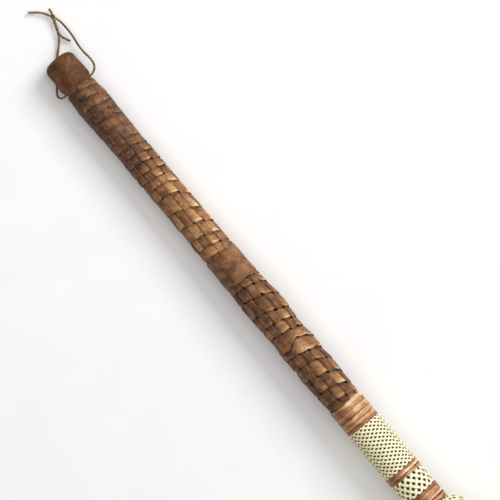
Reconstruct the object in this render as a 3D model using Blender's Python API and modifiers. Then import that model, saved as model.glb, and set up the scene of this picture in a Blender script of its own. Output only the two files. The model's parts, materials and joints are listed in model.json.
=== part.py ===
"""A hand wand covered in plaiting: a knobbed stick under a bark-strip grip, pale straw collars and ball cover,
cane bindings, and a knotted hanging cord through the butt.

The wand lies level. The origin is below the middle of its length, at the height of the ball's lowest facet.
+X runs along the wand to the ball and +Z is up.
"""

import math

import bmesh
import bpy
from mathutils import Vector

MM = 0.001
GAP = 0.3 * MM  # clearance between pieces that touch

# Driving dimensions
BUTT_RADIUS = 12.0 * MM
COLLAR_RADIUS = 13.2 * MM
BALL_RADIUS = 23.9 * MM
CAP_LENGTH = 29.0 * MM
GRIP_END = 314.5 * MM
FINE_COLLAR_LENGTH = 39.6 * MM
COARSE_COLLAR_LENGTH = 14.5 * MM
HOLE_STATION = 24.9 * MM  # the cord hole's middle, from the butt
CORD_DIAMETER = 1.6 * MM

# Bindings: cane wound side by side, as (turns, strip width)
GRIP_BINDING = (4, 3.8 * MM)
MIDDLE_BINDING = (2, 1.9 * MM)
NECK_BINDING = (5, 1.9 * MM)
CANE_THICKNESS = 0.7 * MM

# The grip's plaiting: lengthwise stakes, and a weaver wound round them. An odd number of stakes makes
# each turn of the weaver pass over the stakes that the last turn passed under.
STAKES = 11
TURNS = 30
WEAVER_STRIPS = 5
STRIP_THICKNESS = 0.6 * MM
STAKE_WIDTH = 5.1 * MM
WEAVER_WIDTH = 7.8 * MM
LEVEL = 0.5 * MM  # how far a strip lies above or below the middle of the plaiting
PLAIT_DEPTH = 1.1 * MM  # from the core's surface to the middle of the plaiting
FACET = 2 * math.pi / STAKES  # the angle that each stake has to itself
FIRST_STAKE_ANGLE = math.radians(2)  # round from the top of the wand, towards +Y
WEAVING_START = 32.2 * MM
WEAVING_END = 312.0 * MM

STRAW_THICKNESS = 1.1 * MM
CAP_WALL = 1.2 * MM
BUTT_ROUNDING = 4.0 * MM
HOLE_RADIUS = 1.2 * MM
SIDES = 24


def binding_length(binding):
    """How far a binding's turns reach along the wand."""
    turns, width = binding
    return turns * (width + GAP) + width


# Stations along the wand, from the butt
CORE_START = CAP_WALL + GAP
GRIP_BINDING_START = GRIP_END + GAP
FINE_START = GRIP_BINDING_START + binding_length(GRIP_BINDING) + GAP
MIDDLE_START = FINE_START + FINE_COLLAR_LENGTH + GAP
COARSE_START = MIDDLE_START + binding_length(MIDDLE_BINDING) + GAP
NECK_START = COARSE_START + COARSE_COLLAR_LENGTH + GAP
HEAD_START = NECK_START + binding_length(NECK_BINDING) + GAP
BALL_CENTRE = HEAD_START + math.sqrt(BALL_RADIUS**2 - COLLAR_RADIUS**2)
LENGTH = BALL_CENTRE + BALL_RADIUS
AXIS_HEIGHT = BALL_RADIUS * math.cos(math.pi / SIDES)  # the ball rests on one of its facets
STAKE_START = 5 * MM
STAKE_END = FINE_START - 1.5 * MM

COLLAR_BORE = COLLAR_RADIUS - STRAW_THICKNESS
NECK_RADIUS = COLLAR_BORE - GAP
COVER_BORE = BALL_RADIUS - STRAW_THICKNESS
KNOB_RADIUS = COVER_BORE - GAP
CORE_BUTT_RADIUS = 9.0 * MM
CORE_BUTT_CHAMFER = 1.8 * MM

# The core's radius along the grip, as (station, radius), in straight tapers
CORE_TAPERS = (
    (CORE_START + CORE_BUTT_CHAMFER, CORE_BUTT_RADIUS),
    (CAP_LENGTH, CORE_BUTT_RADIUS),
    (WEAVING_START - 0.2 * MM, 10.0 * MM),
    (200 * MM, 10.1 * MM),
    (222 * MM, 11.0 * MM),
    (305 * MM, 11.3 * MM),
    (GRIP_END, 10.6 * MM),
    (FINE_START - GAP, 10.6 * MM),
)

COLLECTION = bpy.data.collections.new("plaited_wand")
CUTTERS = bpy.data.collections.new("cutters")


def clear_scene():
    for thing in list(bpy.data.objects):
        bpy.data.objects.remove(thing, do_unlink=True)
    for collection in (COLLECTION, CUTTERS):
        bpy.context.scene.collection.children.link(collection)


def make_material(name, colour, roughness):
    material = bpy.data.materials.new(name)
    material.use_nodes = True
    shader = material.node_tree.nodes["Principled BSDF"]
    shader.inputs["Base Color"].default_value = (*colour, 1)
    shader.inputs["Roughness"].default_value = roughness
    shader.inputs["Metallic"].default_value = 0
    return material


def add_empty(name, location, rotation=(0, 0, 0), parent=None):
    empty = bpy.data.objects.new(name, None)
    empty.location = location
    empty.rotation_euler = rotation
    empty.parent = parent
    COLLECTION.objects.link(empty)
    return empty


def add_object(name, data, material, parent):
    thing = bpy.data.objects.new(name, data)
    data.materials.append(material)
    thing.parent = parent
    COLLECTION.objects.link(thing)
    return thing


def core_radius(station):
    """The core's radius at a station of the grip."""
    for (start, low), (end, high) in zip(CORE_TAPERS, CORE_TAPERS[1:]):
        if station <= end:
            share = max(0, (station - start) / (end - start))
            return low + share * (high - low)
    return CORE_TAPERS[-1][1]


def arc(centre, radius, start, end, steps):
    """Points of (radius, station) on an arc, with angles measured from the direction of the tip, outwards."""
    angles = [start + (end - start) * i / steps for i in range(steps + 1)]
    return [(centre[0] + radius * math.sin(a), centre[1] + radius * math.cos(a)) for a in angles]


def add_turned(name, profile, material, parent, closed=False):
    """A piece turned about the parent's Z axis, from a profile of (radius, height) that runs down its outside.

    The profile stands half a facet round from +X, so that a facet, not an edge, faces the ground.
    """
    shape = bmesh.new()
    across, aside = math.cos(math.pi / SIDES), math.sin(math.pi / SIDES)
    points = [shape.verts.new((radius * across, radius * aside, height)) for radius, height in profile]
    pairs = list(zip(points, points[1:] + points[:1]))
    for a, b in pairs if closed else pairs[:-1]:
        shape.edges.new((a, b))
    mesh = bpy.data.meshes.new(name)
    shape.to_mesh(mesh)
    shape.free()
    piece = add_object(name, mesh, material, parent)
    screw = piece.modifiers.new("turn", "SCREW")
    screw.axis = "Z"
    screw.steps = screw.render_steps = SIDES
    screw.use_merge_vertices = True
    screw.merge_threshold = 0.01 * MM
    return piece


def add_ribbon(name, sections, thickness, material, parent):
    """A strip that follows sections, each the pair of points at its two edges, with its thickness about them."""
    shape = bmesh.new()
    bmesh.ops.create_grid(shape, x_segments=len(sections) - 1, y_segments=1)
    one_edge, other_edge = zip(*sections)
    for corner, point in zip(shape.verts, one_edge + other_edge):
        corner.co = point
    mesh = bpy.data.meshes.new(name)
    shape.to_mesh(mesh)
    shape.free()
    piece = add_object(name, mesh, material, parent)
    wall = piece.modifiers.new("thickness", "SOLIDIFY")
    wall.thickness = thickness
    wall.offset = 0
    return piece


def on_facet(stake, across, height):
    """A point on the flat over a stake: its distance across the flat, and the flat's distance from the axis.

    The stakes are counted round from the top, which is the parent's -X.
    """
    angle = FIRST_STAKE_ANGLE + stake * FACET
    outward = Vector((-math.cos(angle), math.sin(angle), 0))
    sideways = Vector((math.sin(angle), math.cos(angle), 0))
    return outward * height + sideways * across


def weaver_station(crossing):
    """Where the weaver's middle crosses its stake, counting crossings along the winding."""
    share = crossing / (STAKES * TURNS - 1)
    return WEAVING_START + WEAVER_WIDTH / 2 + share * (WEAVING_END - WEAVING_START - WEAVER_WIDTH)


def plait_height(station):
    return core_radius(station) + PLAIT_DEPTH


def add_stake(stake, material, parent):
    """One lengthwise strip, under every other turn of the weaver and over the turns between."""
    reach = WEAVER_WIDTH / 2 + 0.15 * MM
    path = [(STAKE_START, -LEVEL), (CAP_LENGTH, -LEVEL)]
    for crossing in range(stake, STAKES * TURNS, STAKES):
        station = weaver_station(crossing)
        level = -LEVEL if crossing % 2 == 0 else LEVEL
        path += [(station - reach, level), (station + reach, level)]
    path += [(GRIP_END, -LEVEL), (STAKE_END, -LEVEL)]
    sections = []
    for station, level in with_core_bends(path):
        edges = [on_facet(stake, side * STAKE_WIDTH / 2, plait_height(station) + level) for side in (-1, 1)]
        sections.append([edge + Vector((0, 0, station)) for edge in edges])
    return add_ribbon(f"stake_{stake + 1}", sections, STRIP_THICKNESS, material, parent)


def with_core_bends(path):
    """The path of (station, level) with a point added wherever the core's taper changes."""
    bent = [path[0]]
    for (start, low), (end, high) in zip(path, path[1:]):
        for bend, _ in CORE_TAPERS:
            if start + 0.1 * MM < bend < end - 0.1 * MM:
                bent.append((bend, low + (high - low) * (bend - start) / (end - start)))
        bent.append((end, high))
    return bent


def add_weaver(number, material, parent):
    """One length of the wound strip, over every other stake and under the stakes between."""
    crossings = STAKES * TURNS // WEAVER_STRIPS
    reach = STAKE_WIDTH / 2 + 0.2 * MM
    sections = []
    for crossing in range(crossings * number, crossings * (number + 1)):
        station = weaver_station(crossing)
        climb = (weaver_station(1) - weaver_station(0)) / (2 * plait_height(station) * math.tan(FACET / 2))
        level = LEVEL if crossing % 2 == 0 else -LEVEL
        for across in (-reach, reach):
            middle = on_facet(crossing % STAKES, across, plait_height(station) + level)
            middle.z = station + across * climb
            sections.append([middle + Vector((0, 0, side * WEAVER_WIDTH / 2)) for side in (-1, 1)])
    return add_ribbon(f"weaver_{number + 1}", sections, STRIP_THICKNESS, material, parent)


def add_binding(name, start, binding, radius, material, parent):
    """Cane wound in a helix, each turn beside the last, with its outside at the given radius."""
    turns, width = binding
    steps = 20
    middle = radius - CANE_THICKNESS / 2
    sections = []
    for i in range(turns * steps + 1):
        angle = 2 * math.pi * i / steps
        low = start + (width + GAP) * i / steps
        spoke = Vector((math.cos(angle), math.sin(angle), 0)) * middle
        sections.append([spoke + Vector((0, 0, low)), spoke + Vector((0, 0, low + width))])
    return add_ribbon(name, sections, CANE_THICKNESS, material, parent)


def add_core(material, parent):
    """The wooden stick: a tapered grip, a neck and a round knob, all in one piece."""
    knob = arc((0, BALL_CENTRE), KNOB_RADIUS, 0, math.pi - math.asin(NECK_RADIUS / KNOB_RADIUS), 12)
    shoulder = [(NECK_RADIUS, FINE_START)]
    grip = [(radius, station) for station, radius in reversed(CORE_TAPERS)]
    foot = [(CORE_BUTT_RADIUS - CORE_BUTT_CHAMFER, CORE_START), (0, CORE_START)]
    return add_turned("core_stick", knob + shoulder + grip + foot, material, parent)


def add_cap(material, parent):
    """The bark cap over the butt: a cup with a rounded rim round its flat face."""
    bore = BUTT_RADIUS - CAP_WALL
    rim = BUTT_RADIUS - BUTT_ROUNDING
    inside = [(0, CAP_WALL), (rim, CAP_WALL), (bore, BUTT_ROUNDING), (bore, CAP_LENGTH)]
    outside = [(BUTT_RADIUS, CAP_LENGTH)] + arc((rim, BUTT_ROUNDING), BUTT_ROUNDING, math.pi / 2, math.pi, 5)
    return add_turned("butt_cap", inside + outside + [(0, 0)], material, parent)


def add_collar(name, start, length, material, parent):
    """A plaited straw sleeve."""
    end = start + length
    profile = [(COLLAR_RADIUS, end), (COLLAR_RADIUS, start), (COLLAR_BORE, start), (COLLAR_BORE, end)]
    return add_turned(name, profile, material, parent, closed=True)


def add_ball_cover(material, parent):
    """The plaited straw shell round the knob, open at the neck."""
    outer = arc((0, BALL_CENTRE), BALL_RADIUS, 0, math.pi - math.asin(COLLAR_RADIUS / BALL_RADIUS), 12)
    inner = arc((0, BALL_CENTRE), COVER_BORE, math.pi - math.asin(COLLAR_BORE / COVER_BORE), 0, 12)
    return add_turned("head_plait", outer + inner, material, parent)


def drill(piece, cutter):
    cut = piece.modifiers.new("cord_hole", "BOOLEAN")
    cut.object = cutter
    cut.operation = "DIFFERENCE"


def add_hole_cutter(parent):
    """A rod across the wand, along its Y axis, where the cord passes through."""
    shape = bmesh.new()
    bmesh.ops.create_cone(shape, cap_ends=True, segments=12, radius1=HOLE_RADIUS, radius2=HOLE_RADIUS,
                          depth=4 * BUTT_RADIUS)
    mesh = bpy.data.meshes.new("cord_hole")
    shape.to_mesh(mesh)
    shape.free()
    cutter = bpy.data.objects.new("cord_hole", mesh)
    cutter.parent = parent
    cutter.location = (0, 0, HOLE_STATION)
    cutter.rotation_euler = (math.pi / 2, 0, 0)
    cutter.hide_render = True
    cutter.display_type = "WIRE"
    CUTTERS.objects.link(cutter)
    return cutter


# The cord's routes in millimetres, from the butt's centre. The long ones start inside the hole and end at a knot.
LOOP_KNOT = (-24.1, 17.3, -8.7)
HITCH_KNOT = (-11.3, 12.4, -9.5)
LOOP_KNOT_RADIUS = 2.1
HITCH_KNOT_RADIUS = 1.8
RIGHT_ROUTE = [(24.9, 0.3, 0), (24.9, 6, 0), (24.9, 12, 0), (24.3, 14.3, -0.3), (22.9, 16.4, -1.2),
               (20.7, 17.9, -2.3), (17.8, 18.6, -3.4), (13.6, 18.6, -4.5), (8.6, 18.1, -5.6),
               (2.7, 18.3, -6.8), (-4.4, 19.3, -7.9), (-11.0, 19.6, -8.5), (-17.0, 19.4, -8.7),
               (-21.0, 18.5, -8.7), LOOP_KNOT]
LEFT_ROUTE = [(24.9, -0.3, 0), (24.9, -6, 0), (24.9, -12, 0), (24.8, -13.5, -0.2), (24.2, -14.9, -0.9),
              (23.0, -15.8, -2.1), (21.3, -15.9, -3.7), (19.5, -15.2, -5.4), (17.6, -13.8, -7.1),
              (15.3, -11.9, -8.8), (12.4, -9.6, -10.4), (9.0, -7.3, -11.5), (5.8, -5.3, -12.1),
              (3.6, -3.9, -12.3), (2.3, -2.6, -12.4), (1.1, -1.1, -12.3), (-0.1, 0.7, -11.9),
              (-1.8, 2.8, -11.3), (-4.3, 5.6, -10.7), (-7.6, 9.1, -10.0), HITCH_KNOT]
HITCH_ROUTE = [HITCH_KNOT, (-14.4, 13.5, -9.3), (-17.9, 14.9, -9.1), LOOP_KNOT]
LONG_TAIL_ROUTE = [LOOP_KNOT, (-27.4, 15.4, -8.9), (-30.7, 13.4, -9.1), (-33.6, 10.8, -9.4),
                   (-35.8, 8.1, -9.5), (-37.6, 5.8, -9.5)]
SHORT_TAIL_ROUTE = [LOOP_KNOT, (-27.2, 18.5, -8.8), (-30.2, 18.8, -8.9)]
HITCH_TAIL_ROUTE = [HITCH_KNOT, (-8.3, 13.5, -9.8), (-5.6, 14.6, -9.8), (-3.2, 15.8, -9.6)]


def smooth_points(route, spacing):
    """Points about that far apart along a smooth curve through the route (Catmull-Rom)."""
    ends = [route[0] * 2 - route[1]] + route + [route[-1] * 2 - route[-2]]
    points = [route[0]]
    for before, a, b, after in zip(ends, ends[1:], ends[2:], ends[3:]):
        steps = max(1, round((b - a).length / spacing))
        for i in range(1, steps + 1):
            t = i / steps
            points.append(0.5 * (2 * a + (b - before) * t + (2 * before - 5 * a + 4 * b - after) * t**2
                                 + (3 * a - before - 3 * b + after) * t**3))
    return points


def add_cord(name, route, diameter, clear, material, pivot):
    """A cord along a route, ended clear of the knots: clear is the room left at its start and at its end."""
    route = [Vector(point) * MM - pivot.location for point in route]
    for end, beside, room in ((0, 1, clear[0]), (-1, -2, clear[1])):
        if room:
            route[end] = route[end] + (route[beside] - route[end]).normalized() * room
    points = smooth_points(route, 2.2 * CORD_DIAMETER)
    curve = bpy.data.curves.new(name, "CURVE")
    curve.dimensions = "3D"
    curve.bevel_depth = diameter / 2
    curve.bevel_resolution = 2
    curve.use_fill_caps = True
    spline = curve.splines.new("POLY")
    spline.points.add(len(points) - 1)
    for target, point in zip(spline.points, points):
        target.co = (*point, 1)
    return add_object(name, curve, material, pivot)


def add_knot(name, centre, radius, material, pivot):
    shape = bmesh.new()
    bmesh.ops.create_uvsphere(shape, u_segments=12, v_segments=8, radius=radius * MM)
    bmesh.ops.translate(shape, verts=shape.verts, vec=Vector(centre) * MM - pivot.location)
    mesh = bpy.data.meshes.new(name)
    shape.to_mesh(mesh)
    shape.free()
    mesh.shade_smooth()
    return add_object(name, mesh, material, pivot)


def build_hanging_cord(material, parent):
    """The cord through the butt and its knots, on a pivot at the hole's middle, about which the loop swings."""
    pivot = add_empty("hang_loop_pivot", (HOLE_STATION, 0, 0), parent=parent)
    by_loop = LOOP_KNOT_RADIUS * MM + GAP
    by_hitch = HITCH_KNOT_RADIUS * MM + GAP
    add_knot("loop_knot", LOOP_KNOT, LOOP_KNOT_RADIUS, material, pivot)
    add_knot("hitch_knot", HITCH_KNOT, HITCH_KNOT_RADIUS, material, pivot)
    add_cord("right_cord", RIGHT_ROUTE, CORD_DIAMETER, (0, by_loop), material, pivot)
    add_cord("left_cord", LEFT_ROUTE, CORD_DIAMETER, (0, by_hitch), material, pivot)
    add_cord("hitch_turns", HITCH_ROUTE, 1.6 * CORD_DIAMETER, (by_hitch, by_loop), material, pivot)
    add_cord("long_tail", LONG_TAIL_ROUTE, CORD_DIAMETER, (by_loop, 0), material, pivot)
    add_cord("short_tail", SHORT_TAIL_ROUTE, CORD_DIAMETER, (by_loop, 0), material, pivot)
    add_cord("hitch_tail", HITCH_TAIL_ROUTE, CORD_DIAMETER, (by_hitch, 0), material, pivot)


def build_wand():
    wood = make_material("dark_wood", (0.07, 0.035, 0.018), 0.6)
    smooth_bark = make_material("smooth_bark", (0.16, 0.08, 0.04), 0.5)
    bark = make_material("bark_strip", (0.22, 0.12, 0.06), 0.75)
    cane = make_material("cane_binding", (0.5, 0.27, 0.13), 0.45)
    straw = make_material("pale_straw", (0.85, 0.78, 0.5), 0.5)
    twine = make_material("twine", (0.35, 0.24, 0.12), 0.8)
    butt = add_empty("butt_centre", (-LENGTH / 2, 0, AXIS_HEIGHT))
    axis = add_empty("wand_axis", (0, 0, 0), (0, math.pi / 2, 0), parent=butt)
    hole = add_hole_cutter(axis)
    core = add_core(wood, axis)
    cap = add_cap(smooth_bark, axis)
    stakes = [add_stake(stake, bark, axis) for stake in range(STAKES)]
    for number in range(WEAVER_STRIPS):
        add_weaver(number, bark, axis)
    add_binding("grip_binding", GRIP_BINDING_START, GRIP_BINDING, COLLAR_RADIUS, cane, axis)
    add_collar("fine_collar", FINE_START, FINE_COLLAR_LENGTH, straw, axis)
    add_binding("middle_binding", MIDDLE_START, MIDDLE_BINDING, COLLAR_RADIUS, cane, axis)
    add_collar("coarse_collar", COARSE_START, COARSE_COLLAR_LENGTH, straw, axis)
    add_binding("neck_binding", NECK_START, NECK_BINDING, COLLAR_RADIUS, cane, axis)
    add_ball_cover(straw, axis)
    build_hanging_cord(twine, butt)
    for piece in [core, cap] + stakes:
        drill(piece, hole)


clear_scene()
build_wand()
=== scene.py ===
# %% [markdown]
# # A plaited dance wand
#
# The wand is a wooden stick with a round knob, dressed all over in basketry: a bark cap on the butt, a grip
# of bark strips, two braided straw collars, cane bindings between them, and a braided straw head. A loop of
# twine hangs from a hole through the butt.
#
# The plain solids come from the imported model. Each is kept and given a finish, or is replaced by a detailed
# piece that lies in the same place. Almost every new piece is one idea used again: a flat strip, made as a
# grid, whose points a short function lays round the stick.

# %% Load the frame
import json
import math

import bmesh
import bpy
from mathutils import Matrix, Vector, noise

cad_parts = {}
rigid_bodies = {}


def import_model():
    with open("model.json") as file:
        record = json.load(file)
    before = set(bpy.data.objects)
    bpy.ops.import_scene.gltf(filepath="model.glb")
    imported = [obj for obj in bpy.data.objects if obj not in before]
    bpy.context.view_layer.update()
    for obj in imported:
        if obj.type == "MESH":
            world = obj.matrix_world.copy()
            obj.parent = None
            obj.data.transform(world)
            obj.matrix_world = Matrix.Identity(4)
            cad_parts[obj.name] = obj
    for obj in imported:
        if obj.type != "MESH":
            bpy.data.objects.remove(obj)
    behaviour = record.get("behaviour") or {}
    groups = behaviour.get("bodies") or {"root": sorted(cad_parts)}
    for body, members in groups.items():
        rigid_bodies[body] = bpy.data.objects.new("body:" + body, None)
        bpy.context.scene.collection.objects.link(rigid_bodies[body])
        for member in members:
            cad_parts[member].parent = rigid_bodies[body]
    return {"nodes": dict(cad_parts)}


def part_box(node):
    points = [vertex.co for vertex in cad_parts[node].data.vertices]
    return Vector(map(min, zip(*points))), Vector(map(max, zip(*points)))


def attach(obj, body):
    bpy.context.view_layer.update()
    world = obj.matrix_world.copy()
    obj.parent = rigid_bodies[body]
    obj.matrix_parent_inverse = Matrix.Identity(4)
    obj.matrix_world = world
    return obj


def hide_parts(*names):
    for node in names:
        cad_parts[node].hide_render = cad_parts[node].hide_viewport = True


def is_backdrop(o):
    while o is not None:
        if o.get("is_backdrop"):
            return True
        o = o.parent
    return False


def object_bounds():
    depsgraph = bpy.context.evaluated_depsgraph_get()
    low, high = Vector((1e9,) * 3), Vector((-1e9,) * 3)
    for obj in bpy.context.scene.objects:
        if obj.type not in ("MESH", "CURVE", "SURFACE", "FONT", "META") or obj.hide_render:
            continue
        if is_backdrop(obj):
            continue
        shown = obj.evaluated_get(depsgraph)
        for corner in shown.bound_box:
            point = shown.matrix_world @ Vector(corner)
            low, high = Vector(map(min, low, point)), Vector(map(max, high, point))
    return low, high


for thing in list(bpy.data.objects):
    bpy.data.objects.remove(thing, do_unlink=True)
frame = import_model()
cad_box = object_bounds()
MM = 0.001

# %% [markdown]
# ## Places on the wand
#
# Every place is given the way a basket maker would give it: how far it is from the butt, how far round it is
# from the top, and how far it is from the middle of the stick. The CAD boxes say where the wand begins, how
# high its axis lies, and where each band starts and ends.

# %% Read the stations from the frame
cap_low, cap_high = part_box("butt_cap")
BUTT = Vector((cap_low.x, 0, (cap_low.z + cap_high.z) / 2))


def reach(node):
    """Where a node starts and ends along the wand, in millimetres from the butt."""
    low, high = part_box(node)
    return (low.x - BUTT.x) / MM, (high.x - BUTT.x) / MM


def at(station, angle, radius):
    """A point on the wand, in metres. The angle is measured round from the top, towards +Y."""
    return BUTT + Vector((station, radius * math.sin(angle), radius * math.cos(angle))) * MM


for node in ("butt_cap", "grip_binding", "fine_collar", "middle_binding", "coarse_collar", "neck_binding"):
    print(node, "from %.1f to %.1f mm" % reach(node))

# %% [markdown]
# ## The camera
#
# The camera looks straight down on the wand from well above, through a long lens that keeps its sides
# parallel. It is turned so that the wand runs down the picture from the upper left, and its frame is so narrow
# that the far side of the head is cut off. The lens follows from the width of that frame at the wand.

# %% Place the camera
CAMERA_TURN = math.radians(49.94)
VIEW_CENTRE = BUTT + Vector((190.4, 17.95, 0)) * MM
VIEW_DISTANCE = 2.6
FRAME_WIDTH = 0.35

camera_data = bpy.data.cameras.new("camera")
camera_data.lens = camera_data.sensor_width * VIEW_DISTANCE / FRAME_WIDTH
camera = bpy.data.objects.new("camera", camera_data)
camera.location = VIEW_CENTRE + Vector((0, 0, VIEW_DISTANCE))
camera.rotation_euler = (0, 0, CAMERA_TURN)
bpy.context.scene.collection.objects.link(camera)
bpy.context.scene.camera = camera
bpy.context.scene.view_settings.view_transform = "Standard"
print("lens %.1f mm" % camera_data.lens)

# %% [markdown]
# ## Helpers for finishes
#
# A finish is a small tree of shader nodes. One function adds a node with its settings and its links, and one
# function turns a colour written as a web colour into the linear values that shaders work in.


# %% Colours and shader nodes
def linear(web_colour):
    """A colour such as "#8a6a4c" as linear red, green, blue and alpha."""
    values = [int(web_colour[i:i + 2], 16) / 255 for i in (1, 3, 5)]
    return (*[v / 12.92 if v <= 0.04045 else ((v + 0.055) / 1.055) ** 2.4 for v in values], 1)


def add_node(tree, kind, settings=None, stops=(), **inputs):
    """A node of a kind. Its settings are attributes; an input is a value, or another node's output.

    Stops are (position, web colour) pairs for a node that blends from one colour to the next.
    """
    made = tree.nodes.new(kind)
    for key, value in (settings or {}).items():
        setattr(made, key, value)
    for extra in range(2, len(stops)):
        made.color_ramp.elements.new(extra / len(stops))
    for i, (position, web_colour) in enumerate(stops):
        made.color_ramp.elements[i].position = position
        made.color_ramp.elements[i].color = linear(web_colour)
    for key, value in inputs.items():
        socket = made.inputs[int(key[1:])] if key[0] == "i" and key[1:].isdigit() else made.inputs[key]
        if isinstance(value, bpy.types.NodeSocket):
            tree.links.new(value, socket)
        else:
            socket.default_value = value
    return made


def start_material(name):
    """An empty material, its tree and its shader."""
    material = bpy.data.materials.new(name)
    material.use_nodes = True
    return material, material.node_tree, material.node_tree.nodes["Principled BSDF"]


print("linear mid brown", [round(v, 3) for v in linear("#8a6a4c")])

# %% [markdown]
# ## A finish for split strips
#
# Bark, cane and straw are all split or peeled along their fibres, so each shows fine streaks that run the
# length of the strip and never across it. The strips carry their own map in millimetres, with the first
# number along the strip and the second across it. Noise that is squeezed across the strip and stretched
# along it makes fibres. A second value on each point, its tone, says how pale that stretch of strip is.


# %% Make a fibre finish
FIBRE_STRETCH = 0.12  # a streak is about eight times as long as it is wide
PATCHES_PER_MM = 0.22  # paler and darker patches are about 5 mm across


def fibre_material(name, stops, fibre_mm, roughness, gloss, bump_mm, mottle=0.3, streak=0.35):
    """A split-fibre finish: stops are its colours from the darkest tone to the palest."""
    material, tree, shader = start_material(name)
    own_map = add_node(tree, "ShaderNodeUVMap", {"uv_map": "strip"}).outputs[0]
    along_fibres = add_node(tree, "ShaderNodeMapping", Vector=own_map,
                            Scale=(FIBRE_STRETCH / fibre_mm, 1 / fibre_mm, 1))
    fibres = add_node(tree, "ShaderNodeTexNoise", Vector=along_fibres.outputs[0], Scale=1.0, Detail=3.0)
    patches = add_node(tree, "ShaderNodeTexNoise", Vector=own_map, Scale=PATCHES_PER_MM, Detail=2.0)
    tone = add_node(tree, "ShaderNodeAttribute", {"attribute_name": "tone"}).outputs["Fac"]
    streaked = add_node(tree, "ShaderNodeMath", {"operation": "MULTIPLY_ADD"},
                        i0=fibres.outputs[0], i1=streak * 2, i2=tone)
    mottled = add_node(tree, "ShaderNodeMath", {"operation": "MULTIPLY_ADD"},
                       i0=patches.outputs[0], i1=mottle * 2, i2=streaked.outputs[0])
    centred = add_node(tree, "ShaderNodeMath", {"operation": "SUBTRACT"},
                       i0=mottled.outputs[0], i1=streak + mottle)
    colour = add_node(tree, "ShaderNodeValToRGB", stops=stops, i0=centred.outputs[0])
    tree.links.new(colour.outputs[0], shader.inputs["Base Color"])
    bump = add_node(tree, "ShaderNodeBump", Height=fibres.outputs[0], Distance=bump_mm * MM, Strength=1.0)
    tree.links.new(bump.outputs[0], shader.inputs["Normal"])
    shader.inputs["Roughness"].default_value = roughness
    shader.inputs["IOR"].default_value = 1.5
    shader.inputs["Specular IOR Level"].default_value = gloss
    return material


# Inner bark, peeled, dried and pounded flat: dull, warm brown; its pale tones carry paler bark and painted
# highlights.
PEELED_BARK = fibre_material("peeled_bark", [(0.0, "#241207"), (0.3, "#5c3920"), (0.55, "#8e603a"),
                                             (0.8, "#b88a58"), (1.0, "#e4c193")], 0.5, 0.6, 0.38, 0.35)
# Split cane, dyed reddish and wound wet: a satin outside with long pale streaks.
SPLIT_CANE = fibre_material("split_cane", [(0.0, "#33160a"), (0.3, "#7d472a"), (0.55, "#b57f52"),
                                           (0.8, "#e0b888"), (1.0, "#fbecc8")], 0.8, 0.42, 0.5, 0.25)
# Bleached straw, flattened: glossy and almost white; its green-gold dark tones carry the painted shade on the
# strips.
FLAT_STRAW = fibre_material("flattened_straw", [(0.0, "#6e5a22"), (0.3, "#b9a457"), (0.6, "#ece0a8"),
                                                (1.0, "#fffbe0")], 0.4, 0.35, 0.5, 0.1, mottle=0.15, streak=0.2)
print("fibre finishes:", PEELED_BARK.name, SPLIT_CANE.name, FLAT_STRAW.name)

# %% [markdown]
# ## Wood, smooth bark and twine
#
# The stick is dark hardwood, seen only through gaps; its near-black colour also paints the shade inside those
# gaps. The butt cap is one piece of smooth bark shrunk on wet, with faint rings and blotches. The twine is two
# plies of plant fibre with no dye.

# %% Make the other finishes
DARK_WOOD, tree, shader = start_material("near_black_hardwood")
place = add_node(tree, "ShaderNodeTexCoord").outputs["Object"]
grain_map = add_node(tree, "ShaderNodeMapping", Vector=place, Scale=(60, 900, 900))
grain = add_node(tree, "ShaderNodeTexNoise", Vector=grain_map.outputs[0], Scale=1.0, Detail=3.0)
# Near black: it paints the shade inside the gaps where the stick shows.
wood_colour = add_node(tree, "ShaderNodeValToRGB", i0=grain.outputs[0],
                       stops=[(0.3, "#140b06"), (0.7, "#2e1c0f")])
tree.links.new(wood_colour.outputs[0], shader.inputs["Base Color"])
shader.inputs["Roughness"].default_value = 0.65

SMOOTH_BARK, tree, shader = start_material("shrunk_bark")
place = add_node(tree, "ShaderNodeTexCoord").outputs["Object"]
blotches = add_node(tree, "ShaderNodeTexNoise", Vector=place, Scale=140.0, Detail=6.0, Roughness=0.62)
vein_map = add_node(tree, "ShaderNodeMapping", Vector=place, Scale=(260, 900, 900), Rotation=(0, 0, 0.4))
veins = add_node(tree, "ShaderNodeTexNoise", Vector=vein_map.outputs[0], Scale=1.0, Detail=3.0)
blend = add_node(tree, "ShaderNodeMix", {"data_type": "FLOAT"},
                 i0=0.4, i2=blotches.outputs[0], i3=veins.outputs[0])
bark_colour = add_node(tree, "ShaderNodeValToRGB", i0=blend.outputs[0],
                       stops=[(0.3, "#2a1508"), (0.45, "#55341c"), (0.58, "#6d4627"), (0.75, "#94683f")])
tree.links.new(bark_colour.outputs[0], shader.inputs["Base Color"])
bump = add_node(tree, "ShaderNodeBump", Height=blend.outputs[0], Distance=0.5 * MM, Strength=0.8)
tree.links.new(bump.outputs[0], shader.inputs["Normal"])
shader.inputs["Roughness"].default_value = 0.62
shader.inputs["Specular IOR Level"].default_value = 0.2

TWINE = fibre_material("plant_fibre_twine", [(0.0, "#20160c"), (0.35, "#584327"), (0.7, "#937a4e"),
                                             (1.0, "#d5c596")], 0.3, 0.8, 0.2, 0.12)
print("solid finishes:", DARK_WOOD.name, SMOOTH_BARK.name, TWINE.name)

# %% [markdown]
# ## Helpers for pieces
#
# `lay_strip` adds one strip to a mesh in the making: a grid of steps along it and lanes across it. A function
# says, for a run from 0 to 1 and a side from 0 to 1, where the point goes and what tone it has.
# `finish_piece` turns the mesh into an object with thickness, a finish and a body to ride on.


# %% Lay strips and finish pieces
def new_shape():
    """An empty mesh in the making, with room for each point's tone and for the strips' own map."""
    shape = bmesh.new()
    shape.verts.layers.float.new("tone")
    shape.loops.layers.uv.new("strip")
    return shape


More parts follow.
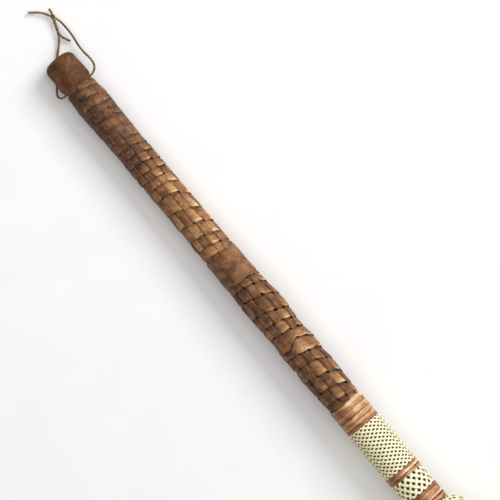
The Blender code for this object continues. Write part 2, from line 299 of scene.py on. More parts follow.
def lay_strip(shape, steps, lanes, length, width, put, shift=0.0):
    """Adds a strip. Length and width are in millimetres; put(run, side) gives a point and its tone."""
    tones, own_map = shape.verts.layers.float["tone"], shape.loops.layers.uv["strip"]
    made = bmesh.ops.create_grid(shape, x_segments=steps, y_segments=lanes, size=0.5)["verts"]
    spots = {corner: (corner.co.x + 0.5, corner.co.y + 0.5) for corner in made}
    for face in {face for corner in made for face in corner.link_faces}:
        face.smooth = True
        for loop in face.loops:
            run, side = spots[loop.vert]
            loop[own_map].uv = (run * length + shift, side * width + shift)
    for corner, (run, side) in spots.items():
        corner.co, corner[tones] = put(run, side)


def finish_piece(shape, name, material, body, nodes, thickness=0.0):
    """Makes the object, gives it its wall, puts it on the body that it rides on, and hides the solids it stands
    for.
    """
    mesh = bpy.data.meshes.new(name)
    shape.to_mesh(mesh)
    shape.free()
    piece = bpy.data.objects.new(name, mesh)
    bpy.context.scene.collection.objects.link(piece)
    mesh.materials.append(material)
    if thickness:
        wall = piece.modifiers.new("wall", "SOLIDIFY")
        wall.thickness = thickness * MM
        wall.offset = 0
    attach(piece, body)
    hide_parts(*nodes)
    print(name, len(mesh.polygons), "faces")
    return piece


def ease(value, low, high):
    """0 below low, 1 above high, and a smooth rise between."""
    t = min(1, max(0, (value - low) / (high - low)))
    return t * t * (3 - 2 * t)


def waver(seed, x, y=0.0):
    """Smooth noise about 0, from roughly -1 to 1."""
    return noise.noise(Vector((x, y, seed * 7.31))) * 1.6


def along_list(pairs, x):
    """The value at x on a smooth line through (x, value) pairs."""
    for (start, low), (end, high) in zip(pairs, pairs[1:]):
        if x <= end:
            return low + (high - low) * ease(x, start, end)
    return pairs[-1][1]


# %% [markdown]
# ## The shape of the grip
#
# The grip isn't a true cylinder. It swells a little at the heel of the hand, where extra strips were worked
# in, and again past the middle, with a bulge on one side. The rows aren't even either: the strip that winds
# round was pulled from bark of different widths, so each turn has its own. Rows are told by the place of
# their edges.

# %% Radius and rows of the grip
GRIP_RADII = [(0, 11.6), (10, 11.8), (31, 12.2), (41, 13.0), (55, 12.6), (70, 12.2), (84, 12.0), (168, 12.0),
              (200, 12.5), (214, 13.1), (229, 13.5), (244, 13.1), (252, 12.8), (265, 13.6), (276, 13.1),
              (286, 13.7), (300, 13.1), (315, 12.7)]
ROW_EDGES = [21.5, 25, 30, 38, 45, 50.5, 56, 65, 75.5, 82.5, 89.5, 96.5, 104, 110.5, 117, 126.5, 140.5, 153,
             163.5, 171.5, 179, 190, 203, 210, 219.5, 233.8, 243, 251, 258.5, 270.5, 278.5, 290.5, 302, 311.5,
             316, 318]
ROWS_BEFORE_FIRST = 2
ROWS = len(ROW_EDGES) - 4
BULGE_HEIGHT, BULGE_MIDDLE, BULGE_LENGTH = 1.1, 228, 13
PATCH = (179.3, 203.2)  # a wide piece of bark wrapped over the rows
PATCH_PRESS = 0.5  # how far it presses the rows under it flat
PATCH_ROW = ROW_EDGES.index(190) - ROWS_BEFORE_FIRST  # the row under its middle
STAKES = sum(name.startswith("stake_") for name in frame["nodes"])
FACET = 2 * math.pi / STAKES
FIRST_STAKE = math.radians(17)
STAKE_DRIFT = math.radians(-13)  # the stakes slip round under the patch
ROW_MARK = math.radians(20)  # the angle at which the row edges are told
STEEPEST = math.radians(45)  # where the winding climbs fastest
FOLD_TURN = 25.86  # where the strip was folded over itself, just before a row mark
FOLD_SHIFT = 5.6  # how far the fold throws the strip towards the head
CROSSING_SHARPNESS = 3.2  # how suddenly the winding goes from over to under
HEEL_END = 92  # up to here the heel of the hand has worn the plaiting flat
HEEL_FADE = 16  # the length over which that wear sets in


def plait_radius(station, angle):
    """The grip's outside, with its bulge on the +Y side."""
    bulge = BULGE_HEIGHT * math.exp(-((station - BULGE_MIDDLE) / BULGE_LENGTH) ** 2) * max(0, math.sin(angle))
    start, end = PATCH
    pressed = PATCH_PRESS * ease(station, start - 2, start + 1) * ease(station, end + 2, end - 1)
    return along_list(GRIP_RADII, station) + bulge - pressed + 0.22 * waver(1, station / 9, angle)


def row_edge(turn):
    """Where the winding's -X edge lies after so many turns: it climbs in the upper part of each turn."""
    whole = math.floor(turn)
    phase = (turn - whole) * 2 * math.pi

    def climbed(phase):
        x = phase + ROW_MARK - STEEPEST
        return (phase + 1.5 * math.sin(x) + 0.3 * math.sin(2 * x) + math.sin(3 * x) / 30) / (2 * math.pi)

    share = climbed(phase) - climbed(0)
    index = min(max(whole + ROWS_BEFORE_FIRST, 0), len(ROW_EDGES) - 2)
    low, high = ROW_EDGES[index], ROW_EDGES[index + 1]
    fold = FOLD_SHIFT * ease(turn, FOLD_TURN + 0.14, FOLD_TURN) * ease(turn, FOLD_TURN - 0.32, FOLD_TURN - 0.12)
    return low + share * (high - low) + fold


def stake_angle(stake, station):
    """How far round the wand the middle of a stake lies."""
    return FIRST_STAKE + stake * FACET + STAKE_DRIFT * ease(station, 176, 204)


def weave(turn):
    """1 where the winding passes over a stake, and -1 where it passes under."""
    angle = ROW_MARK + 2 * math.pi * turn
    crossing = (angle - stake_angle(0, row_edge(turn))) / FACET
    wave = math.tanh(CROSSING_SHARPNESS * math.cos(math.pi * crossing))
    folded = ease(turn, FOLD_TURN - 1.2, FOLD_TURN - 1.15) * ease(turn, FOLD_TURN + 0.35, FOLD_TURN + 0.3)
    over_all = max(ease(turn, 0.1, 0), folded)
    return wave + (1 - wave) * over_all


def lit_side(angle):
    """0 on the -Y side of the grip, and 1 on the +Y side, which faces the side light and where the strips were
    left standing. It also sets where painted light and painted shade fall.
    """
    return ease(math.sin(angle), -0.25, 0.35)


def heel_wear(station):
    """1 where the heel of the hand has worn the plaiting, and 0 past it."""
    return ease(station, HEEL_END, HEEL_END - HEEL_FADE)


def relief(station, angle):
    """How far the plaiting stands out, from 0 to 1."""
    return (1 - 0.72 * heel_wear(station)) * (0.7 + 0.3 * lit_side(angle))


def openness(station, angle):
    """How far the strips are drawn apart midway between two stakes, which leaves a hole."""
    crossing = (angle - stake_angle(0, station)) / FACET
    between = math.exp(-(((crossing % 1) - 0.5) / 0.13) ** 2)
    share = 0.55 * ease(station, 36, 42) + 0.45 * ease(station, 198, 206)
    return between * share * (0.75 + 0.5 * waver(97, station / 4, angle * 2))


print(STAKES, "stakes,", ROWS, "rows")

# %% [markdown]
# ## The winding strip
#
# One strip winds round the grip, over a stake and under the next. An odd number of stakes makes every row
# cross the stakes the other way from the row before. It comes in five lengths, joined on the underside. The
# strip's edge towards the head is the free one, so it curls up a little and leaves a dark gap beyond it. That
# edge gets a painted highlight where it catches the light, and the strip is painted darker where it goes under.

# %% Wind the strip
PLAIT_MIDDLE = 0.8  # from the outside of the grip in to the middle of the plaiting
LEVEL = 0.42
STRIP_THICKNESS = 0.4
STEPS_PER_STAKE = 8
WINDING_LANES = 7
TURN_LENGTH, STRIP_WIDTH = 76, 9
PATCH_STEPS, PATCH_LANES, PATCH_LENGTH = 120, 16, 80
JOIN = 0.44  # joins lie this share of a turn past the row mark, on the underside
LENGTHS = 5
ROWS_PER_LENGTH = ROWS / LENGTHS


def row_tone(station):
    """Paler bark was used over the middle of the hand."""
    tone = 0.40 + 0.19 * ease(station, 92, 118) - 0.16 * ease(station, 174, 184)
    return tone + 0.01 * ease(station, 200, 210)


def painted_side_shade(angle):
    """Painted shade: the -Y side, away from the side light, is painted darker, and the +Y side a little paler.
    """
    return 0.03 - 0.11 * (1 - lit_side(angle))


def put_winding(turn, side):
    """A point of the winding: side 0 is the free edge, towards the head, and side 1 the tucked edge."""
    angle = ROW_MARK + 2 * math.pi * turn
    apart = openness(row_edge(turn + 1), angle)
    free = row_edge(turn + 1) - 0.5 - 0.3 * lit_side(angle) - 0.8 * apart
    free += 0.5 * waver(2, turn * 6) - 0.4 * waver(3, turn * 19)
    tucked = row_edge(turn) + 0.1 + 0.7 * openness(row_edge(turn), angle) + 0.35 * waver(4, turn * 7)
    station = free + (tucked - free) * side
    level = weave(turn)
    curl = 0.38 * (1 - side) ** 2 - 0.18 * side
    crown = 0.10 * (1 - (2 * side - 1) ** 2)
    wrinkles = 0.16 * waver(5, turn * 13, side * 1.5)
    lift = relief(station, angle) * (LEVEL * level + curl + crown * max(0, level)) + wrinkles
    radius = plait_radius(station, angle) - PLAIT_MIDDLE + lift
    # Painted highlight along the free edge: strongest on the +Y side, which faces the side light, near the cap
    # and where the strip passes over. The tucked edge, under the row before, gets painted shade.
    painted_light_share = max(0.25 * ease(station, 36, 33) * lit_side(angle), relief(station, angle) * max(0, level))
    edge_light = 0.38 * math.exp(-(side / 0.16) ** 2) * painted_light_share * (0.4 + 0.6 * lit_side(angle))
    edge_light -= 0.15 * side ** 3
    row_shade = 0.13 * waver(6, turn * 1.7) + 0.14 * waver(7, turn * 9) + 0.08 * waver(88, turn * 31, side * 2)
    row_shade *= 1 - 0.4 * heel_wear(station)
    # Painted light where the strip passes over a stake and painted shade where it goes under, plus the painted
    # side shade; row_shade is the bark's own uneven tone.
    shade = edge_light + row_shade + 0.10 * level * relief(station, angle) + painted_side_shade(angle)
    return at(station, angle, radius), row_tone(station) + shade


def put_patch(run, side):
    """A point of the wide patch, which laps over itself on the underside."""
    angle = 2 * math.pi + 2 * math.pi * 1.04 * (run - 0.5)
    station = PATCH[1] + (PATCH[0] - PATCH[1]) * side
    station += 0.35 * waver(80, run * 9, side)
    station += 0.2 * waver(81, run * 25)
    dents = 0.16 * waver(82, station / 5, run * 9) + 0.22 * waver(83, station / 11, run * 5)
    lap = 0.35 * ease(run, 0.9, 1)
    radius = plait_radius(station, angle) + 0.42 + dents + lap + 0.15 * (2 * side - 1) ** 6
    # The patch's -Y side is painted darker, a painted shade away from the side light; the noise is the bark's
    # own tone.
    shade = 0.02 + painted_side_shade(angle) + 0.10 * waver(84, station / 6, run * 7)
    return at(station, angle, radius), row_tone(sum(PATCH) / 2) + shade


def first_turn(number):
    """Where a length starts: a whole number of rows, and then round to the underside."""
    return -1.08 if number == 0 else math.floor(number * ROWS_PER_LENGTH) + JOIN


for number in range(LENGTHS):
    start = first_turn(number) - (0.05 if number else 0)
    end = ROWS + 0.3 if number == LENGTHS - 1 else first_turn(number + 1)
    shape = new_shape()
    turns = end - start
    lay_strip(shape, round(turns * STAKES * STEPS_PER_STAKE), WINDING_LANES, turns * TURN_LENGTH, STRIP_WIDTH,
              lambda run, side: put_winding(start + run * turns, side), shift=number * 31)
    if start < PATCH_ROW < end:
        lay_strip(shape, PATCH_STEPS, PATCH_LANES, PATCH_LENGTH, PATCH[1] - PATCH[0], put_patch)
    finish_piece(shape, f"winding_{number + 1}", PEELED_BARK, "wand",
                 [f"weaver_{number + 1}"], STRIP_THICKNESS)

# %% [markdown]
# ## The stakes
#
# The stakes run the length of the grip. Each one dives under a row and comes up over the next, so its
# height follows the row edges at its own angle. It comes up late, past the free edge of the row that it
# was under, and that is what leaves the small dark holes.

# %% Lay the stakes
STAKE_WIDTH = 5.3
STAKE_START, STAKE_END = 27.5, 332.0
STAKE_TUCK = 313  # from here on the stakes go down under the binding
STAKE_STEPS = 620
RISE_LATE, DIVE_EARLY, HALF_RISE = 1.1, 0.2, 0.9


def stake_levels(stake):
    """(station, level after it) at each row edge that the stake meets."""
    levels = []
    for row in range(-1, ROWS + 1):
        nominal = ROW_EDGES[row + ROWS_BEFORE_FIRST]
        past_mark = (stake_angle(stake, nominal) - ROW_MARK) / (2 * math.pi)
        turn = row + past_mark
        levels.append((row_edge(turn), -1 if weave(turn) > 0 else 1))
    return sorted(levels)


def stake_level(levels, station):
    """-1 where the stake is under and 1 where it is over, with a quick rise or dive between."""
    level = -1
    for edge, after in levels:
        middle = edge + (RISE_LATE if after > 0 else -DIVE_EARLY)
        level += (after - level) * ease(station, middle - HALF_RISE, middle + HALF_RISE)
    return level


for stake in range(STAKES):
    levels = stake_levels(stake)

    def put_stake(run, side):
        station = STAKE_START + run * (STAKE_END - STAKE_START)
        level = stake_level(levels, station) if station < STAKE_TUCK else -1
        worn_wider = 1.3 * heel_wear(station)
        width = STAKE_WIDTH * (1 + 0.12 * waver(8 + stake, station / 14)) + worn_wider
        middle = stake_angle(stake, station) + 0.05 * waver(30 + stake, station / 22)
        lift = LEVEL * level * relief(station, middle) - 0.5 * ease(station, STAKE_TUCK - 1, STAKE_TUCK + 3)
        radius = plait_radius(station, middle) - PLAIT_MIDDLE + lift
        angle = middle + (side - 0.5) * width / radius
        crown = 0.16 * (1 - (2 * side - 1) ** 2) * max(0, level) * relief(station, middle)
        shade = 0.10 * waver(50 + stake, station / 12) + 0.08 * waver(70 + stake, station / 3)
        # Painted shade where the stake dips under a row and on the -Y side, away from the side light; the noise
        # above is the bark's own tone.
        shade -= 0.12 * max(0, -level)
        tone = row_tone(station) - 0.06 + painted_side_shade(middle) + shade
        return at(station, angle, radius + crown), tone

    shape = new_shape()
    lay_strip(shape, STAKE_STEPS, 4, STAKE_END - STAKE_START, STAKE_WIDTH, put_stake, shift=stake * 17)
    finish_piece(shape, f"lengthwise_strip_{stake + 1}", PEELED_BARK, "wand",
                 [f"stake_{stake + 1}"], STRIP_THICKNESS)

# %% [markdown]
# ## The butt cap
#
# The cap is a cup of bark: one flat end with a rounded rim, and a wall whose cut edge goes under the first
# row of the grip. It is a profile spun about the axis, then pushed in and out a little, because bark dries
# uneven. Two dimples mark where the twine goes in. The flat end lies a little inside the solid's, so that the
# dents stay within the solid.

# %% Spin the cap
CAP_END = reach("butt_cap")[1]
CAP_START = 1.2
CAP_ROUNDING = 5.6
CAP_RADIUS = 11.4
CAP_STRAIGHT = CAP_START + CAP_ROUNDING
RIM_STEPS, WALL_STEPS, CAP_SIDES = 8, 18, 96
HOLE_STATION = 24.9
DIMPLE_DEPTH, DIMPLE_RADIUS = 0.7, 1.5
cap_outline = [(CAP_START, 0.0), (CAP_START, 3.0)]
cap_outline += [(CAP_START + CAP_ROUNDING * (1 - math.cos(a)), CAP_RADIUS - CAP_ROUNDING * (1 - math.sin(a)))
                for a in [math.pi / 2 * i / RIM_STEPS for i in range(RIM_STEPS + 1)]]
cap_outline += [(CAP_STRAIGHT + (CAP_END + 1 - CAP_STRAIGHT) * i / WALL_STEPS, CAP_RADIUS)
                for i in range(1, WALL_STEPS + 1)]

shape = new_shape()
corners = [shape.verts.new(at(station, 0, radius)) for station, radius in cap_outline]
edges = [shape.edges.new(pair) for pair in zip(corners, corners[1:])]
bmesh.ops.spin(shape, geom=corners + edges, cent=BUTT, axis=(1, 0, 0), angle=2 * math.pi, steps=CAP_SIDES,
               use_merge=True)
bmesh.ops.remove_doubles(shape, verts=shape.verts, dist=0.01 * MM)
bmesh.ops.recalc_face_normals(shape, faces=shape.faces)
for corner in shape.verts:
    away = corner.co - BUTT
    station, angle, radius = away.x / MM, math.atan2(away.y, away.z), math.hypot(away.y, away.z) / MM
    share = ease(radius, 5, 11)
    dent = 0.22 * waver(91, station / 9, angle * 1.3) + 0.10 * waver(92, station / 3, angle * 4)
    mouth = min(math.hypot(station - HOLE_STATION, CAP_RADIUS * (abs(angle) - math.pi / 2)), 9)
    dent -= DIMPLE_DEPTH * math.exp(-(mouth / DIMPLE_RADIUS) ** 2)
    swell = 0.5 * ease(station, 12, 21) - 1.5 * ease(station, 21.5, 26)  # out, and then in under the rows
    corner.co = at(station + 0.25 * waver(93, radius / 4, angle), angle, radius + share * (dent + swell))
for face in shape.faces:
    face.smooth = True
finish_piece(shape, "bark_cap", SMOOTH_BARK, "wand", ["butt_cap"], 0.8)

# %% [markdown]
# ## The bindings
#
# A binding is a strip of split cane wound side by side, square across the wand, with its step to the next
# turn on the underside. Each turn has its own width, as split cane does, and stands a little proud in its
# middle.


# %% Wind the bindings
CANE_STEPS, CANE_LANES = 72, 8
CANE_TURN_LENGTH, CANE_WIDTH = 82, 4
CANE_THICKNESS = 0.45


def wind_binding(name, node, turn_list, radius, seed, tone, ragged=0.14):
    """A cane strip wound in turns: each has its share of the binding's length, and its own tone, shown in full
    only on the lit +Y side.
    """
    widths, shades = zip(*turn_list)
    start, end = reach(node)
    scale = (end - start) / sum(widths)
    edges = [start]
    for width in widths:
        edges.append(edges[-1] + width * scale)

    def edge(turn):
        whole = min(max(math.floor(turn), 0), len(widths) - 1)
        share = ease(turn - whole, 0.42, 0.58)
        return edges[whole] + share * (edges[whole + 1] - edges[whole])

    turns = len(widths) - 0.1

    def put(run, side):
        turn = run * turns - 0.45
        free = edge(turn + 1) - 0.1
        tucked = edge(turn) + 0.05
        station = free + (tucked - free) * side
        station += ragged * (waver(seed, turn * 5) + 0.6 * waver(seed + 4, turn * 23))
        crown = 0.32 * (1 - (2 * side - 1) ** 6) - 0.16
        height = radius - 0.35 + crown + 0.12 * waver(seed + 1, turn * 3, side * 0.7)
        row = min(max(math.floor(turn + 0.5), 0), len(shades) - 1)
        # Painted light: each turn's own tone shows in full on the +Y side, which faces the side light, and the
        # -Y side is painted darker, a painted shade.
        painted_light_share = ease(math.sin(2 * math.pi * turn), -0.45, 0.2)
        shade = (0.15 + 0.85 * painted_light_share) * shades[row] - 0.18 * (1 - painted_light_share)
        shade += 0.12 * waver(seed + 3, side * 2.2 + row * 3, turn * 1.3)
        shade += 0.10 * waver(seed + 5, turn * 6)
        # Painted shade in the gaps between the turns, at both edges of each turn.
        painted_gap_shade = -0.12 * (2 * side - 1) ** 8
        return at(station, 2 * math.pi * turn, height), tone + shade + painted_gap_shade

    shape = new_shape()
    lay_strip(shape, round(turns * CANE_STEPS), CANE_LANES, turns * CANE_TURN_LENGTH, CANE_WIDTH, put)
    finish_piece(shape, name, SPLIT_CANE, "wand", [node], CANE_THICKNESS)


wind_binding("grip_cane", "grip_binding", [(3.0, 0.24), (3.2, -0.06), (4.6, 0.08), (4.2, 0.02), (3.4, 0.04),
                                           (1.9, -0.16)], 13.1, 101, 0.58)
wind_binding("middle_cane", "middle_binding", [(2.2, -0.06), (1.9, 0.28), (2.2, 0.0)], 13.4, 111, 0.6, 0.3)
wind_binding("neck_cane", "neck_binding", [(2.2, -0.05), (2.1, 0.08), (2.0, -0.04), (1.6, 0.32), (1.0, -0.34),
                                           (1.9, 0.08), (1.3, -0.12)], 13.4, 121, 0.48)

# %% [markdown]
# ## The straw braids
#
# A tubular braid has as many strips winding one way as the other. A strip passes over one crossing strip and
# under the next, and all the crossings at one station go the same way, so a strip's height is a wave of its
# own turn. On a collar the strips are plain spirals. On the ball they keep the same slant to the axis while
# the ball's girth changes, as a rhumb line does on a globe, so they open out at the equator and crowd
# together towards the tip.


# %% Outlines that a braid can follow
class Sleeve:
    """The outline of a braided sleeve, whose ends go down under the bindings beside it."""

    def __init__(self, node, radius, slant, shift=0.0):
        start, end = reach(node)
        self.shift = shift / radius * math.tan(math.radians(slant))
        self.start, self.end, self.radius, self.slant = start - 0.7, end + 0.7, radius, math.radians(slant)
        self.last_turn = (self.end - self.start) / radius * math.tan(self.slant)

    def __call__(self, turn):
        """The station, the girth radius and the surface's tilt from the axis, after so many radians."""
        station = self.start + turn * self.radius / math.tan(self.slant)
        tuck = ease(station, self.start + 1.6, self.start) + ease(station, self.end - 1.6, self.end)
        return station, self.radius - 0.55 * tuck, 0.0


class Ball:
    """The outline of the braided ball, from the neck to near the tip."""

    def __init__(self, radius, centre, neck_radius, tip_angle, slant):
        self.radius, self.centre, self.slant, self.shift = radius, centre, math.radians(slant), 0.0
        self.first = math.log(math.tan((math.pi - math.asin(neck_radius / radius)) / 2))
        self.last_turn = (self.first - math.log(math.tan(tip_angle / 2))) * math.tan(self.slant)

    def __call__(self, turn):
        polar = 2 * math.atan(math.exp(self.first - turn / math.tan(self.slant)))
        return self.centre + self.radius * math.cos(polar), self.radius * math.sin(polar), math.pi / 2 - polar


# %% Braid a sleeve or a ball
STEPS_PER_CROSSING = 5
STRAW_SHARPNESS = 1.6  # straw goes from over to under less suddenly than bark
STRAW_THICKNESS = 0.35


def braid(name, node, count, outline, width_share, wave_depth, seed, tone, lead=0.0):
    """A braid of count strips each way, as wide as a share of their spacing. The lead turns it, in degrees."""
    shape = new_shape()
    last = outline.last_turn
    for way in (1, -1):
        for number in range(count):
            own_shade = 0.10 * waver(seed, number * 3.7, way)

            def put(run, side):
                turn = run * last + 0.02 * waver(seed + 2, run * last * 2.5, number * 1.9 + way)
                station, radius, tilt = outline(turn)
                spacing = 2 * math.pi * radius * math.cos(outline.slant) / count
                aside = (side - 0.5) * spacing * (width_share + 0.04 * way) * way
                passed = turn - outline.shift
                angle = way * passed + number * 2 * math.pi / count + math.radians(lead)
                angle -= aside * math.cos(outline.slant) / radius
                along = way * aside * math.sin(outline.slant)
                wave = way * math.tanh(STRAW_SHARPNESS * math.cos(count * passed))
                lift = (wave_depth * wave + 0.05 * way) * min(1, radius / 8) + 0.12 * (1 - (2 * side - 1) ** 2)
                # Painted shade where a strip goes under and at both edges of each strip, painted light where it
                # passes over; own_shade is the straw's own tone.
                shade = own_shade + 0.10 * wave - 0.45 * (2 * side - 1) ** 4
                shade += 0.08 * waver(seed + 1, turn * 9, number)
                # Painted shade on the -Y side, away from the side light.
                shade -= 0.10 * (1 - ease(math.sin(angle), -0.7, 0.1))
                return at(station + along * math.cos(tilt) + lift * math.sin(tilt), angle,
                          radius - along * math.sin(tilt) + lift * math.cos(tilt)), tone + shade

            steps = round(count * last / math.pi * STEPS_PER_CROSSING)
            length = last * outline.radius / math.sin(outline.slant)
            lay_strip(shape, steps, 4, length, 2, put, shift=number * 5 + way)
    finish_piece(shape, name, FLAT_STRAW, "wand", [node], STRAW_THICKNESS)


ball_low, ball_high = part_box("head_plait")
BALL_SIDES = 24  # the solid is faceted, and it is its flats that lie at the top and the bottom
BALL_RADIUS = (ball_high.z - ball_low.z) / 2 / MM / math.cos(math.pi / BALL_SIDES)
BALL_CENTRE = (ball_high.x - BUTT.x) / MM - BALL_RADIUS
NECK_RADIUS = 12.4
SLEEVE_RADIUS = 12.9
TIP_OPENING = math.radians(3)
braid("fine_braid", "fine_collar", 17, Sleeve("fine_collar", SLEEVE_RADIUS, 54.9, 0.1),
      0.50, 0.30, 131, 0.90, 3.4)
braid("coarse_braid", "coarse_collar", 15, Sleeve("coarse_collar", SLEEVE_RADIUS, 43.4, -1.3),
      0.50, 0.34, 141, 0.94, 1.8)
braid("head_braid", "head_plait", 17, Ball(BALL_RADIUS - 0.6, BALL_CENTRE, NECK_RADIUS, TIP_OPENING, 50),
      0.54, 0.34, 151, 0.90)
frame["nodes"]["core_stick"].data.materials.clear()
frame["nodes"]["core_stick"].data.materials.append(DARK_WOOD)
print("ball radius %.1f mm at station %.1f" % (BALL_RADIUS, BALL_CENTRE))

# %% [markdown]
# ## The twine
#
# The twine is thin two-ply cord, limp, tied into a small loop through the butt. Its route is the same as the
# solid's: points given one by one, from the hole, round the butt and down to the surface. The tube along it has
# the waist of two plies, turned steadily along its length.

# %% The twine's route
TWINE_DIAMETER = 1.6
LOOP_KNOT = (-24.1, 17.3, -8.7)
HITCH_KNOT = (-11.3, 12.4, -9.5)
RIGHT_ROUTE = [(24.9, 0.3, 0), (24.9, 6, 0), (24.9, 12, 0), (24.3, 14.3, -0.3), (22.9, 16.4, -1.2),
               (20.7, 17.9, -2.3), (17.8, 18.6, -3.4), (13.6, 18.6, -4.5), (8.6, 18.1, -5.6),
               (2.7, 18.3, -6.8), (-4.4, 19.3, -7.9), (-11.0, 19.6, -8.5), (-17.0, 19.4, -8.7),
               (-21.0, 18.5, -8.7), LOOP_KNOT]
LEFT_ROUTE = [(24.9, -0.3, 0), (24.9, -6, 0), (24.9, -12, 0), (24.8, -13.5, -0.2), (24.2, -14.9, -0.9),
              (23.0, -15.8, -2.1), (21.3, -15.9, -3.7), (19.5, -15.2, -5.4), (17.6, -13.8, -7.1),
              (15.3, -11.9, -8.8), (12.4, -9.6, -10.4), (9.0, -7.3, -11.5), (5.8, -5.3, -12.1),
              (3.6, -3.9, -12.3), (2.3, -2.6, -12.4), (1.1, -1.1, -12.3), (-0.1, 0.7, -11.9),
              (-1.8, 2.8, -11.3), (-4.3, 5.6, -10.7), (-7.6, 9.1, -10.0), HITCH_KNOT]
HITCH_ROUTE = [HITCH_KNOT, (-14.4, 13.5, -9.3), (-17.9, 14.9, -9.1), LOOP_KNOT]
LONG_TAIL_ROUTE = [LOOP_KNOT, (-27.4, 15.4, -8.9), (-30.7, 13.4, -9.1), (-33.6, 10.8, -9.4),
                   (-35.8, 8.1, -9.5), (-37.6, 5.8, -9.5)]
SHORT_TAIL_ROUTE = [LOOP_KNOT, (-27.2, 18.5, -8.8), (-30.2, 18.8, -8.9)]
HITCH_TAIL_ROUTE = [HITCH_KNOT, (-8.3, 13.5, -9.8), (-5.6, 14.6, -9.8), (-3.2, 15.8, -9.6)]


def smooth_route(route, spacing=0.35):
    """Points in millimetres from the butt, about that far apart, on a smooth curve through the route."""
    route = [Vector(point) for point in route]
    ends = [route[0] * 2 - route[1]] + route + [route[-1] * 2 - route[-2]]
    points = [route[0]]
    for before, a, b, after in zip(ends, ends[1:], ends[2:], ends[3:]):
        steps = max(1, round((b - a).length / spacing))
        for i in range(1, steps + 1):
            t = i / steps
            points.append(0.5 * (2 * a + (b - before) * t + (2 * before - 5 * a + 4 * b - after) * t**2
                                 + (3 * a - before - 3 * b + after) * t**3))
    return points


def route_length(points):
    return sum((b - a).length for a, b in zip(points, points[1:]))


for label, route in (("right", RIGHT_ROUTE), ("left", LEFT_ROUTE)):
    print(label, "side %.1f mm" % route_length(smooth_route(route)))


# %% Make the twine
PLY_PITCH = 4.2
TWINE_SIDES = 12
KNOT_ROOM = 1.2


def lay_twine(shape, points, diameter, seed):
    """A two-ply tube along the points, with a steady frame carried from one point to the next."""
    side_way = Vector((0, 0, 1)).cross((points[1] - points[0]).normalized())
    if side_way.length < 0.1:
        side_way = Vector((0, 1, 0))
    frames = []
    for i, point in enumerate(points):
        ahead = (points[min(i + 1, len(points) - 1)] - points[max(i - 1, 0)]).normalized()
        side_way = (side_way - ahead * side_way.dot(ahead)).normalized()
        frames.append((point, side_way.copy(), ahead.cross(side_way)))
    length = route_length(points)
    steps = len(points) - 1

    def put(run, side):
        point, right, up = frames[round(run * steps)]
        round_angle = -2 * math.pi * round(side * TWINE_SIDES) / TWINE_SIDES
        twist = 2 * math.pi * run * length / PLY_PITCH
        end = 0.55 if run in (0, 1) else 1
        lobe = 0.80 + 0.24 * abs(math.cos(round_angle - twist)) + 0.05 * waver(seed, run * length * 2, side * 3)
        spoke = right * math.cos(round_angle) + up * math.sin(round_angle)
        spot = BUTT + (point + spoke * (diameter / 2 * lobe * end)) * MM
        # Painted shade in the groove between the two plies, and painted light on their crowns.
        painted_groove_shade = 0.35 * (abs(math.cos(round_angle - twist)) - 0.5)
        return spot, 0.45 + painted_groove_shade + 0.1 * waver(seed + 1, run * length / 3)

    before = set(shape.verts)
    lay_strip(shape, steps, TWINE_SIDES, length, math.pi * diameter, put, shift=seed)
    tube = [corner for corner in shape.verts if corner not in before]
    bmesh.ops.remove_doubles(shape, verts=tube, dist=0.002 * MM)
    rims = [edge for edge in shape.edges if edge.is_boundary]
    bmesh.ops.holes_fill(shape, edges=rims, sides=TWINE_SIDES + 2)


def shorten(points, start_room, end_room):
    """The points that stay clear of a knot at either end."""
    return [p for p in points if (p - points[0]).length >= start_room and (p - points[-1]).length >= end_room]


def twine_piece(name, node, points, seed, diameter=TWINE_DIAMETER):
    shape = new_shape()
    lay_twine(shape, points, diameter, seed)
    return finish_piece(shape, name, TWINE, "hang_loop", [node])


right_points = shorten(smooth_route(RIGHT_ROUTE), 0, KNOT_ROOM)
left_points = shorten(smooth_route(LEFT_ROUTE), 0, KNOT_ROOM)
right_twine = twine_piece("right_twine", "right_cord", right_points, 161)
left_twine = twine_piece("left_twine", "left_cord", left_points, 163)
tails = [twine_piece("long_end", "long_tail", shorten(smooth_route(LONG_TAIL_ROUTE), KNOT_ROOM, 0), 165),
         twine_piece("short_end", "short_tail", shorten(smooth_route(SHORT_TAIL_ROUTE), KNOT_ROOM, 0), 167),
         twine_piece("hitch_end", "hitch_tail", shorten(smooth_route(HITCH_TAIL_ROUTE), KNOT_ROOM, 0), 169)]


# %% Tie the knots
KNOT_STEPS = 48
HITCH_SPACING, HITCH_PITCH, HITCH_RADIUS = 0.12, 1.9, 0.62


def knot_points(centre, size, ahead):
    """An overhand knot pulled tight: a trefoil's path, laid in line with the twine."""
    ahead = Vector(ahead).normalized()
    up = Vector((0, 0, 1))
    aside = up.cross(ahead)
    points = []
    for i in range(KNOT_STEPS + 1):
        t = 2 * math.pi * i / KNOT_STEPS
        x, y, z = math.sin(t) + 2 * math.sin(2 * t), math.cos(t) - 2 * math.cos(2 * t), -math.sin(3 * t)
        points.append(Vector(centre) + (ahead * x + aside * y * 0.8 + up * z * 0.9) * size)
    return points


def hitch_points(route):
    """Twine wound in close turns round the stretch between the knots."""
    middle = smooth_route(route, HITCH_SPACING)
    points = []
    for i, point in enumerate(middle[2:-2]):
        ahead = (middle[i + 3] - middle[i + 1]).normalized()
        right = Vector((0, 0, 1)).cross(ahead).normalized()
        turn = 2 * math.pi * i * HITCH_SPACING / HITCH_PITCH
        points.append(point + (right * math.cos(turn) + ahead.cross(right) * math.sin(turn)) * HITCH_RADIUS)
    return points


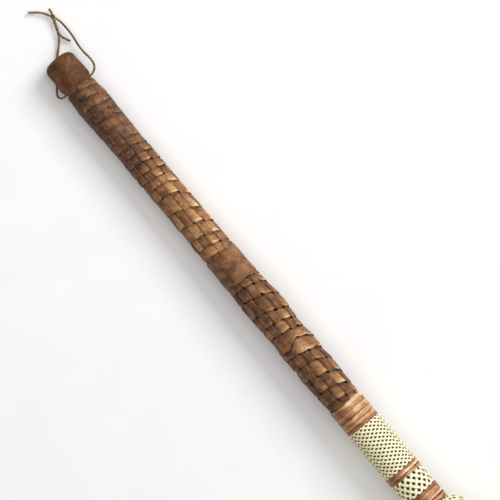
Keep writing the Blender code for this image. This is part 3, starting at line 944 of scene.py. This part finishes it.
knots = [twine_piece("loop_tie", "loop_knot", knot_points(LOOP_KNOT, 0.48, (-1, 0.2, 0)), 171, 1.4),
         twine_piece("hitch_tie", "hitch_knot", knot_points(HITCH_KNOT, 0.42, (-1, 0.5, 0)), 173, 1.3),
         twine_piece("hitch_winding", "hitch_turns", hitch_points(HITCH_ROUTE), 175, 1.2)]

# %% [markdown]
# ## The floor and the light
#
# The wand lies on its head and its butt, so it slopes a little against a level surface. Here the wand stays
# level and the floor slopes instead. The paper is close to white. One soft light stands on the +Y side, and it
# leaves a soft shadow on the other. A wider one hangs overhead, and the pale room fills in the rest.

# %% Lay the floor
BUTT_SUPPORT = 13.1  # how far below the axis the butt end's support lies
FLOOR_GAP = 0.2
FLOOR_SIZE = 6.0
floor_slope = (BALL_RADIUS - BUTT_SUPPORT) / BALL_CENTRE
shape = bmesh.new()
bmesh.ops.create_grid(shape, x_segments=1, y_segments=1, size=FLOOR_SIZE)
for corner in shape.verts:
    corner.co.z = BUTT.z - BUTT_SUPPORT * MM - (corner.co.x - BUTT.x) * floor_slope - FLOOR_GAP * MM
mesh = bpy.data.meshes.new("floor")
shape.to_mesh(mesh)
shape.free()
floor = bpy.data.objects.new("floor", mesh)
bpy.context.scene.collection.objects.link(floor)
floor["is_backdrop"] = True
PAPER, tree, shader = start_material("matt_paper")
place = add_node(tree, "ShaderNodeTexCoord").outputs["Object"]
flecks = add_node(tree, "ShaderNodeTexNoise", Vector=place, Scale=25.0, Detail=2.0)
paper_colour = add_node(tree, "ShaderNodeValToRGB", i0=flecks.outputs[0],
                        stops=[(0.3, "#f2f2f2"), (0.7, "#f5f4f4")])
tree.links.new(paper_colour.outputs[0], shader.inputs["Base Color"])
shader.inputs["Roughness"].default_value = 0.9
shader.inputs["Specular IOR Level"].default_value = 0.1
mesh.materials.append(PAPER)
print("floor slopes %.2f degrees" % math.degrees(floor_slope))


# %% Light the scene
def add_soft_light(name, place, size, power):
    """A square softbox that points at the middle of the view."""
    light = bpy.data.lights.new(name, "AREA")
    light.shape, light.size, light.energy = "SQUARE", size, power
    holder = bpy.data.objects.new(name, light)
    holder.location = place
    holder.rotation_euler = (VIEW_CENTRE - place).to_track_quat("-Z", "Y").to_euler()
    holder.visible_camera = False
    bpy.context.scene.collection.objects.link(holder)


add_soft_light("side_softbox", VIEW_CENTRE + Vector((-0.2, 1.3, 1.3)), 1.0, 25)
add_soft_light("overhead_softbox", VIEW_CENTRE + Vector((0, -0.1, 2.2)), 2.2, 26)
world = bpy.data.worlds.new("pale_room")
bpy.context.scene.world = world
world.use_nodes = True
world.node_tree.nodes["Background"].inputs["Color"].default_value = linear("#fffefd")
world.node_tree.nodes["Background"].inputs["Strength"].default_value = 0.24
print("two softboxes and a pale room")

# %% [markdown]
# ## Comparing the sizes
#
# The new pieces have to stay within the box of the solids that they stand for, apart from a little that
# strips and fibres may stand proud.

# %% Compare the sizes
full_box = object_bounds()
for label, box in (("cad", cad_box), ("visual", full_box)):
    print(label, [round(v / MM, 1) for v in box[1] - box[0]], "mm")
